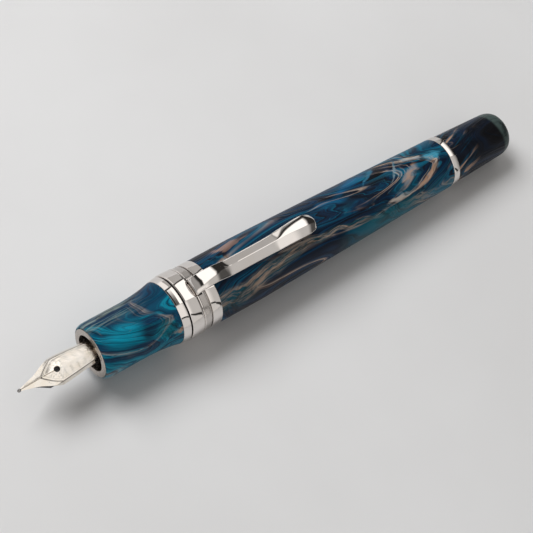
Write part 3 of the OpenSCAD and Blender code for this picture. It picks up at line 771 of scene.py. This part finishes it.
def clip_notch(x, radius, angle):
    """Scoops the middle band's rear edge away a little where the clip rises out of it."""
    half_angle, depth = 0.29, 0.66
    near_clip = np.clip(1 - (np.abs(signed_angle(angle)) / half_angle) ** 2, 0, 1)
    edge = MIDDLE_BAND_END - depth * near_clip ** 0.6
    on_edge = (radius > 7.01) & (x > 23.2)
    return np.where(on_edge, np.minimum(x, edge - (MIDDLE_BAND_END - x) * 0.35), x), radius


def flat_angles():
    """Even angles, with those by the flat's edges replaced by a close pair at each edge."""
    edges = (FLAT_HALF_ANGLE, 2 * np.pi - FLAT_HALF_ANGLE)
    pairs = [edge + offset for edge in edges for offset in (-0.0008, 0.0008)]
    even = [angle for angle in even_angles(256)
            if min(abs(angle - edge) for edge in edges) > 0.01]
    return sorted(even + pairs)


def clip_flat(height, end=1e9):
    """A shape that cuts a flat at this height under the clip, in front of x = end."""
    def shape(x, radius, angle):
        angle = signed_angle(angle)
        cut = (np.abs(angle) < FLAT_HALF_ANGLE) & (x < end)
        return x, np.where(cut, np.minimum(radius, height / np.cos(np.where(cut, angle, 0))),
                           radius)
    return shape


def rings():
    lathe("nose_ring_face", fillet(NOSE_RING, steps=5), "section", "nose", "nose_ring")
    lathe("front_band", fillet(FRONT_BAND, steps=4), "section", "trim", "section_front_band",
          angles=even_angles(256))
    lathe("middle_band", middle_band_outline(), "barrel", "trim", "main_band",
          angles=even_angles(384), shape=clip_notch)
    lathe("clip_washer", CLIP_WASHER, "barrel", "trim", "clip_ring",
          angles=flat_angles(), shape=clip_flat(height=7.0))
    lathe("spacer_band", SPACER_BAND, "barrel", "spacer", "spacer_ring",
          angles=flat_angles(), shape=clip_flat(height=6.7, end=25.5))
    lathe("rear_band", fillet(REAR_BAND, steps=5), "barrel", "trim", "barrel_front_ring",
          angles=even_angles(256))
    lathe("tail_band", fillet(TAIL_BAND, steps=5), "barrel", "trim", "rear_trim_ring",
          angles=even_angles(256))
    lathe("seal_washer", fillet(SEAL_WASHER, steps=3), "seal", "rubber", "section_seal_ring")


# ---------------------------------------------------------------------------
# Clip: one springy piece lofted along its length.
# Columns: top x, top z, underside x, underside z, half width beyond CLIP_HALF_WIDTH,
# crown height, crown power (1 is a ridge, 2 is round)
CLIP_STATIONS = [
    (23.86, 7.06, 24.80, 7.06, 0.0, 0.10, 2.0),
    (23.86, 7.60, 24.84, 7.60, 0.0, 0.14, 2.0),
    (23.92, 8.10, 25.00, 8.05, 0.0, 0.22, 2.0),
    (24.12, 8.60, 25.30, 8.38, 0.0, 0.34, 2.0),
    (24.55, 9.16, 25.80, 8.62, 0.0, 0.36, 1.7),
    (25.35, 9.60, 26.50, 8.78, 0.0, 0.40, 1.5),
    (26.50, 9.88, 27.30, 8.86, 0.0, 0.42, 1.4),
    (28.00, 10.0, 28.30, 8.90, 0.0, 0.44, 1.35),
    (29.60, 9.96, 29.70, 8.80, 0.0, 0.50, 1.25),
    (31.00, 9.74, 31.10, 8.56, 0.0, 0.62, 1.15),
    (32.40, 9.46, 32.50, 8.28, 0.0, 0.82, 1.1),
    (34.20, 9.27, 34.20, 8.12, 0.0, 0.88, 1.0),
    (37.50, 9.19, 37.50, 8.10, 0.0, 0.88, 1.0),
    (41.50, 9.18, 41.50, 8.10, 0.02, 0.88, 1.0),
    (44.60, 9.22, 44.60, 8.12, 0.07, 0.88, 1.0),
    (46.60, 9.38, 46.60, 8.18, 0.15, 0.80, 1.1),
    (48.60, 9.74, 48.60, 8.16, 0.25, 0.68, 1.2),
    (50.80, 10.06, 50.80, 7.90, 0.36, 0.66, 1.3),
    (52.80, 10.20, 52.80, 7.60, 0.42, 0.68, 1.4),
    (54.40, 10.16, 54.40, 7.38, 0.38, 0.74, 1.5),
    (55.70, 9.92, 55.70, 7.34, 0.08, 0.76, 1.7),
    (56.55, 9.50, 56.55, 7.34, -0.42, 0.66, 2.0),
    (56.98, 8.92, 56.95, 7.36, -0.98, 0.42, 2.0),
    (57.08, 8.36, 57.05, 7.42, -1.46, 0.20, 2.0),
]


def clip_section(thick, half_width, crown, power):
    """Closed outline of (y, depth below the top): crowned top, rounded sides, flat base."""
    round_radius = min(0.20, thick * 0.3, half_width * 0.4)
    edge = min(crown, thick - 0.32) if thick > 1.0 else min(crown, thick * 0.62)
    top = [(q * (half_width - round_radius), edge * abs(q) ** power)
           for q in np.linspace(-1, 1, 41)]
    right = [(half_width - round_radius + round_radius * math.sin(angle),
              edge + round_radius * (1 - math.cos(angle)))
             for angle in np.radians([20, 40, 60, 80, 90])]
    low = thick - 0.12 * min(1, thick)
    right += [(half_width, (edge + round_radius + low) / 2), (half_width, low),
              (half_width - 0.05, thick - 0.04), (half_width - 0.12, thick)]
    left = [(-y, depth) for y, depth in reversed(right)]
    base = [(y, thick) for y in np.linspace(half_width - 0.3, -(half_width - 0.3), 7)]
    return top + right + base + left


def pocket_clip():
    sections = []
    for row in spline(np.linspace(0, len(CLIP_STATIONS) - 1, 150), CLIP_STATIONS):
        top, under = row[0:2], row[2:4]
        extra_width, crown, power = row[4:]
        thick = np.linalg.norm(top - under)
        outward = (top - under) / thick
        outline = clip_section(thick, CLIP_HALF_WIDTH + extra_width, crown, power)
        sections.append([(top[0] - outward[0] * depth, y, top[1] - outward[1] * depth)
                         for y, depth in outline])
    sections = np.array(sections)
    rows, count = sections.shape[:2]
    faces = [face for i in range(rows - 1) for face in ring_faces(i, i + 1, count)]
    # close the two ends with fans
    verts = np.vstack([sections.reshape(-1, 3), sections[0].mean(0), sections[-1].mean(0)])
    first_centre, last_centre = len(verts) - 2, len(verts) - 1
    last_row = (rows - 1) * count
    faces += [(first_centre, j, (j + 1) % count) for j in range(count)]
    faces += [(last_centre, last_row + (j + 1) % count, last_row + j) for j in range(count)]
    add_mesh("pocket_clip", verts, faces, "clip", "trim", "clip", sharp=50)


# ---------------------------------------------------------------------------
# Nib: a formed sheet with creased sides, a round hole, a slit and engraved lines
# Columns: x, half width
NIB_HALF_WIDTHS = np.array([
    (-17.45, 0.24), (-17.0, 0.31), (-16.0, 0.58), (-15.0, 0.85), (-14.0, 1.12),
    (-13.0, 1.45), (-12.2, 1.80), (-11.4, 2.20), (-10.6, 2.56), (-9.8, 2.88),
    (-9.2, 3.09), (-8.75, 3.21), (-8.3, 3.24), (-7.9, 3.22), (-6.0, 3.07),
    (-4.0, 2.90), (-2.0, 2.71), (0.1, 2.52), (3.0, 2.52), (6.6, 2.52)])
# Columns: x, height of the centre line
NIB_CREST = np.array([
    (-17.8, TIP_Z + 0.16), (-17.0, TIP_Z + 0.32), (-15.0, 1.62), (-12.0, 1.93),
    (-8.5, 2.20), (-4.0, 2.42), (0.0, 2.62), (7.0, 2.66)])
# Columns: x, half width at which the sides fold down
NIB_CREASE = np.array([(-10.5, 2.74), (-8.5, 2.74), (-4.0, 2.36), (0.5, 1.92)])
# Columns: x, fall from the centre line to the sheet's edge, fall to the crease
NIB_FALLS = np.array([
    (-17.8, 0.10, 0.10), (-16.0, 0.24, 0.24), (-13.0, 0.60, 0.60), (-10.0, 1.24, 0.84),
    (-8.5, 1.58, 0.80), (-4.0, 1.34, 0.66), (0.5, 1.30, 0.62)])

# Engraved lines on the +y half as (x, y) points; the other half mirrors them.
HEART_LINE = [(-12.3, 0.0), (-12.15, 0.22), (-11.3, 0.92), (-10.3, 1.72), (-9.4, 2.30),
              (-8.5, 2.72)]
BORDER_LINE = [(-11.5, 0.12), (-10.8, 0.72), (-9.9, 1.46), (-9.0, 2.06), (-8.2, 2.36),
               (-7.0, 2.30), (-5.0, 2.14), (-3.0, 2.0), (-1.0, 1.9)]
WAVY_LINES = [[(x, y + 0.15 * math.sin(x * 3.9)) for x in np.linspace(-7.2, -0.2, 90)]
              for y in (0.80, 1.22, 1.64)]
LEAF_STROKES = [[(x, 0.22), (x + 0.22, 0.42), (x + 0.5, 0.5)]
                for x in np.arange(-7.6, -0.6, 0.55)]


def nib_half_width(x):
    at, width = NIB_HALF_WIDTHS.T
    i = np.clip(np.searchsorted(at, x) - 1, 0, len(at) - 2)
    step = at[i + 1] - at[i]
    slope = np.gradient(width, at)
    u = np.clip((x - at[i]) / step, 0, 1)
    return hermite(u, width[i], width[i + 1], step * slope[i], step * slope[i + 1])


def nib_crease(x):
    return np.interp(x, *NIB_CREASE.T)


def nib_drop(x, y):
    """How far the sheet falls from its centre line, y away from it."""
    half_width = nib_half_width(x)
    side = np.abs(y)
    at, edge_falls, crease_falls = NIB_FALLS.T
    to_edge = np.interp(x, at, edge_falls)
    to_crease = np.interp(x, at, crease_falls)
    crease = np.minimum(nib_crease(x), half_width * 0.999)
    ridge = np.sqrt(side * side + 0.03**2) - 0.03     # the distance, softened at the centre
    inside = to_crease * (0.86 * ridge / crease + 0.14 * (ridge / crease) ** 2)
    across_fold = np.clip((side - crease) / np.maximum(half_width - crease, 1e-3), 0, 1)
    fold = to_crease + (to_edge - to_crease) * across_fold
    uncreased = to_edge * (0.80 * ridge / half_width + 0.20 * (ridge / half_width) ** 2)
    creased = smooth_step((x + 12.2) / 3.4)           # the creases fade in behind the tip
    return uncreased * (1 - creased) + np.where(side > crease, fold, inside) * creased


def distance_to(lines, x, y):
    nearest = np.full(x.shape, 1e9)
    for line in lines:
        for (x0, y0), (x1, y1) in zip(line[:-1], line[1:]):
            run, rise = x1 - x0, y1 - y0
            squared = run * run + rise * rise + 1e-12
            t = np.clip(((x - x0) * run + (y - y0) * rise) / squared, 0, 1)
            nearest = np.minimum(nearest, np.hypot(x - x0 - t * run, y - y0 - t * rise))
    return nearest


def nib_cuts_and_crease_shade(x, y):
    """Depth of the cut lines, and how dark each point is: the cut lines, the centre line and the
    hole are darkened, and painted shade runs along the creases.
    """
    side = np.abs(y)
    exposed = x < 0.5
    heart = distance_to([HEART_LINE], x, side)
    light = distance_to([BORDER_LINE] + WAVY_LINES + LEAF_STROKES, x, side)
    hole = np.hypot(x - HOLE_X, y)
    cut = 0.070 * bell(heart, 0.09) + 0.030 * bell(light, 0.06) * exposed
    cut *= smooth_step((hole - 0.62) / 0.12)
    cut += 0.05 * bell(hole - HOLE_RADIUS, 0.07)
    # a slit in front of the hole, a scribed centre line behind it
    slit = bell(y, 0.045)
    cut += np.where(x < -8.6, 0.16 * slit, 0.035 * slit * (x < 0.2))

    # painted shade: the sheet is darkened along its creases, where the sides fold down
    crease = bell(side - nib_crease(x), 0.10) * smooth_step((x + 9.7) / 0.8) * (x < 2)
    dark = np.maximum.reduce([
        0.85 * bell(heart, 0.11),
        0.30 * bell(light, 0.08) * exposed,
        0.9 * crease,
        0.45 * bell(y, 0.08) * exposed,
        smooth_step((0.72 - hole) / 0.10),
    ])
    return cut, dark


def nib_surfaces():
    """Grids of points on the sheet's outer and inner side, and the outer side's darkness."""
    tube_outer, tube_inner, tube_half_angle = 2.735, 2.43, 1.36
    stations = np.concatenate([np.linspace(-17.45, -1.0, 520), np.linspace(-0.9, 6.6, 60)])
    across = np.linspace(-1, 1, 2 * 75 + 1)
    across = np.sign(across) * (0.72 * np.abs(across) + 0.28 * np.abs(across) ** 0.6)
    x = np.repeat(stations[:, None], len(across), 1)
    across = np.repeat(across[None], len(stations), 0)
    y = nib_half_width(x) * across
    z = np.interp(x, *NIB_CREST.T) - nib_drop(x, y)
    # inside the nose the sheet turns into part of a tube
    tube = smooth_step((x - 0.1) / 1.6)
    angle = across * tube_half_angle
    y = y * (1 - tube) + tube_outer * np.sin(angle) * tube
    z = z * (1 - tube) + tube_outer * np.cos(angle) * tube
    thick = 0.30 * (0.55 + 0.45 * smooth_step((x + 17.5) / 4))
    # the inner side is drawn in towards the centre near the edges
    inner_y = y * (1 - 0.10 * smooth_step((np.abs(across) - 0.55) / 0.45))
    inner_y = inner_y * (1 - tube) + tube_inner * np.sin(angle) * tube
    inner_z = (z - thick) * (1 - tube) + tube_inner * np.cos(angle) * tube
    cut, dark = nib_cuts_and_crease_shade(x, y)
    return np.stack([x, y, z - cut], -1), np.stack([x, inner_y, inner_z], -1), dark


def nib_sheet():
    outer, inner, dark = nib_surfaces()
    rows, count = dark.shape
    layer = rows * count        # offset from an outer point to the inner one below it
    index = np.arange(layer).reshape(rows, count)
    quads = np.stack([index[:-1, :-1], index[1:, :-1], index[1:, 1:], index[:-1, 1:]], -1)
    # leave the hole open
    cell_x = (outer[:-1, :-1, 0] + outer[1:, 1:, 0]) / 2
    cell_y = (outer[:-1, :-1, 1] + outer[1:, 1:, 1]) / 2
    quads = quads[np.hypot(cell_x - HOLE_X, cell_y) > HOLE_RADIUS].tolist()
    faces = []
    edges = {}
    for quad in quads:
        faces.append(tuple(quad))
        faces.append(tuple(i + layer for i in reversed(quad)))
        for edge in zip(quad, quad[1:] + quad[:1]):
            edges.setdefault(frozenset(edge), []).append(edge)
    # walls along the outer edge and round the hole
    border = [uses[0] for uses in edges.values() if len(uses) == 1]
    faces += [(end, start, start + layer, end + layer) for start, end in border]
    verts = np.vstack([outer.reshape(-1, 3), inner.reshape(-1, 3)])
    # bring the jagged edge of the hole onto a true circle
    radius = np.hypot(verts[:, 0] - HOLE_X, verts[:, 1])
    rim = np.array(sorted({i for edge in border for i in edge if radius[i] < 0.9}))
    for points in (rim, rim + layer):
        scale = HOLE_RADIUS / radius[points]
        verts[points, 0] = HOLE_X + (verts[points, 0] - HOLE_X) * scale
        verts[points, 1] *= scale
    # drop the points that no face uses
    used = sorted({i for face in faces for i in face})
    renumbered = {old: new for new, old in enumerate(used)}
    faces = [tuple(renumbered[i] for i in face) for face in faces]
    line = np.concatenate([dark.ravel(), np.zeros(layer)])
    add_mesh("nib_sheet", verts[used], faces, "nib_unit", "nib", "nib",
             sharp=40, line=line[used])


def nib_tipping():
    """A small egg at the tip, flattened a little underneath and grooved in line with the slit."""
    radius = 0.42
    centre_x = TIP_X + radius
    count, rows = 48, 24
    verts = []
    for i in range(rows + 1):
        polar = math.pi * i / rows
        for j in range(count):
            turn = 2 * math.pi * j / count
            x = math.cos(polar)
            y = math.sin(polar) * math.cos(turn)
            z = max(math.sin(polar) * math.sin(turn), -0.86)
            groove = 1 - 0.10 * math.exp(-(y / 0.12) ** 2) * (x < 0.6)
            verts.append((centre_x + radius * x * (1.0 if x < 0 else 1.25),
                          radius * 0.9 * y * groove, TIP_Z + radius * z * groove))
    faces = [face for i in range(rows) for face in ring_faces(i, i + 1, count)]
    add_mesh("nib_tipping", verts, faces, "nib_unit", "tip", "nib_point", sharp=60)


# ---------------------------------------------------------------------------
# CAD nodes that keep their own shape, and their materials
CAD_FINISHES = {
    "feed": "feed", "nib_collar": "feed", "carrier_tube": "brass",
    "ink_cartridge": "cartridge", "cartridge_spring": "steel", "carrier_plug": "brass",
    "cam_pin": "steel", "guide_tube": "brass", "cam_tube": "steel", "knob_core": "steel",
    "knob_bush": "acetal", "thrust_washer": "acetal", "twist_o_ring": "rubber",
    "barrel_bush": "brass", "section_liner": "brass", "shutter_seal": "rubber",
    "shutter_door": "steel", "door_pin": "steel", "door_spring": "steel",
}


def finish_cad_nodes():
    for name, material in CAD_FINISHES.items():
        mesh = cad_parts[name].data
        mesh.materials.clear()
        mesh.materials.append(MATERIALS[material])
        for polygon in mesh.polygons:
            polygon.use_smooth = True
        mesh.set_sharp_from_angle(angle=math.radians(25))


# ---------------------------------------------------------------------------
# Scene
def add_floor():
    """A plane touching the widest band and the knob's end, as the pen lies."""
    band_x, knob_radius, reach = 22.0, 5.40, 1500.0
    slope = (BAND_RADIUS - knob_radius) / (KNOB_DOME_START - band_x)

    def height(x):
        return -(BAND_RADIUS + 0.02) * math.sqrt(1 + slope * slope) + (x - band_x) * slope

    corners = [(x * reach, y * reach, height(x * reach))
               for x, y in ((-1, -1), (1, -1), (1, 1), (-1, 1))]
    mesh = bpy.data.meshes.new("floor")
    mesh.from_pydata(to_row(corners).tolist(), [], [(0, 1, 2, 3)])
    floor = bpy.data.objects.new("floor", mesh)
    scene.collection.objects.link(floor)
    mesh.materials.append(floor_paint())


def add_camera():
    """Placed from the pen's pose in the camera's own axes: right, down, forward."""
    pen_axis = np.array([0.78719277, -0.43292227, 0.4392105])
    nose_place = np.array([-36.6396, 18.0720, 332.1059])     # mm
    roll = math.radians(13.0)                                # of the clip about the pen's axis
    # the direction square to the axis that faces the camera most, and the one square to both
    towards = np.array([0, 0, -1.0])
    towards = towards - pen_axis * (towards @ pen_axis)
    towards /= np.linalg.norm(towards)
    sideways = np.cross(towards, pen_axis)
    pen_z = math.cos(roll) * towards + math.sin(roll) * sideways
    to_pen = np.stack([pen_axis, np.cross(pen_z, pen_axis), pen_z])
    pose = np.eye(4)
    pose[:3, 0] = to_pen[:, 0]
    pose[:3, 1] = -to_pen[:, 1]
    pose[:3, 2] = -to_pen[:, 2]
    pose[:3, 3] = to_row(to_pen @ -nose_place)[0]
    data = bpy.data.cameras.new("camera")
    data.sensor_width = 36.0
    data.lens = 108.06754
    data.clip_start = 0.01
    data.clip_end = 20
    camera = bpy.data.objects.new("camera", data)
    scene.collection.objects.link(camera)
    camera.matrix_world = Matrix(pose.tolist())
    scene.camera = camera


def add_key_light():
    """A large soft box over the pen, one metre from its middle."""
    pen_middle = Vector(to_row((48, 0, 0))[0])
    direction = Vector((-0.28, 0.60, 0.75)).normalized()
    light = bpy.data.lights.new("key", "AREA")
    light.shape = "RECTANGLE"
    light.size = 0.54
    light.size_y = 0.52
    light.energy = 8.9
    key = bpy.data.objects.new("key", light)
    scene.collection.objects.link(key)
    key.location = pen_middle + direction * 1.0
    key.rotation_mode = "QUATERNION"
    key.rotation_quaternion = direction.to_track_quat("Z", "Y")
    key.visible_glossy = False      # the metal mirrors the room instead


def room_brightness(graph, rays):
    """The room the metal mirrors, by direction: x runs from the nib end to the knob end, y from
    the near side to the far side. Dark seams and ends part the walls."""
    ease = graph.ease
    coordinates = graph.node("ShaderNodeTexCoord")
    x, y, _ = graph.split(coordinates.outputs["Generated"])
    # a white panel across the middle
    beyond_near = ease(y, start=-0.26, end=-0.18)
    panel = beyond_near * ease(y, start=0.71, end=0.745, low=1.45, high=0.0)
    panel = panel * (ease(x, start=-0.04, end=0.05)
                     * ease(x, start=0.52, end=0.66, low=1.0, high=0.0))
    # a pale wall on the near side, with a dimmer strip past a thin seam
    near = (1.0 - beyond_near) * ease(y, start=-0.825, end=-0.805)
    near = near * ease(x, start=0.16, end=0.36, low=1.02, high=0.60)
    strip = ease(y, start=-0.85, end=-0.87, high=0.70)
    near = graph.math("MAXIMUM", near, strip) * ease(x, start=0.52, end=0.76, low=1.0, high=0.10)
    # a dim wall on the far side, with a bright patch towards the nib end
    far = ease(y, start=0.765, end=0.785, high=0.48) * (
        ease(x, start=0.50, end=0.72, low=1.0, high=0.10)
        * ease(x, start=0.06, end=0.32, low=0.22, high=1.0))
    patch = ease(y, start=0.78, end=0.81, high=1.10) * (
        ease(x, start=-0.20, end=-0.12) * ease(x, start=0.16, end=0.24, low=1.0, high=0.0))
    far = graph.math("MAXIMUM", far, patch)
    nib_end = ease(x, start=-0.20, end=-0.45, high=0.36)
    room = graph.math("MAXIMUM", graph.math("MAXIMUM", panel, near),
                      graph.math("MAXIMUM", far, nib_end))
    # the room lights matt surfaces less than it shows in mirrors
    diffuse = Value(graph, rays.outputs["Is Diffuse Ray"])
    return (room + 0.03) * (1.0 - diffuse * 0.62)


def add_world():
    """A plain backdrop for the camera, the room for everything else."""
    world = bpy.data.worlds.new("room")
    scene.world = world
    world.use_nodes = True
    graph = Graph(world.node_tree)
    output = graph.node("ShaderNodeOutputWorld")
    backdrop = graph.node("ShaderNodeBackground")
    room = graph.node("ShaderNodeBackground")
    rays = graph.node("ShaderNodeLightPath")
    either = graph.node("ShaderNodeMixShader")
    backdrop.inputs["Color"].default_value = (0.76, 0.76, 0.765, 1)
    backdrop.inputs["Strength"].default_value = 1.0
    room.inputs["Color"].default_value = (1.0, 0.975, 0.945, 1)
    graph.put(room.inputs["Strength"], room_brightness(graph, rays))
    graph.link(rays.outputs["Is Camera Ray"], either.inputs[0])
    graph.link(room.outputs[0], either.inputs[1])
    graph.link(backdrop.outputs[0], either.inputs[2])
    graph.link(either.outputs[0], output.inputs[0])


grip_shell()
barrel_shell()
knob_shell()
rings()
pocket_clip()
nib_sheet()
nib_tipping()
finish_cad_nodes()
add_floor()
add_camera()
add_key_light()
add_world()

scene.view_settings.view_transform = "Standard"
scene.view_settings.look = "None"
scene.view_settings.exposure = 0.0
scene.view_settings.gamma = 1.0

bpy.context.view_layer.update()
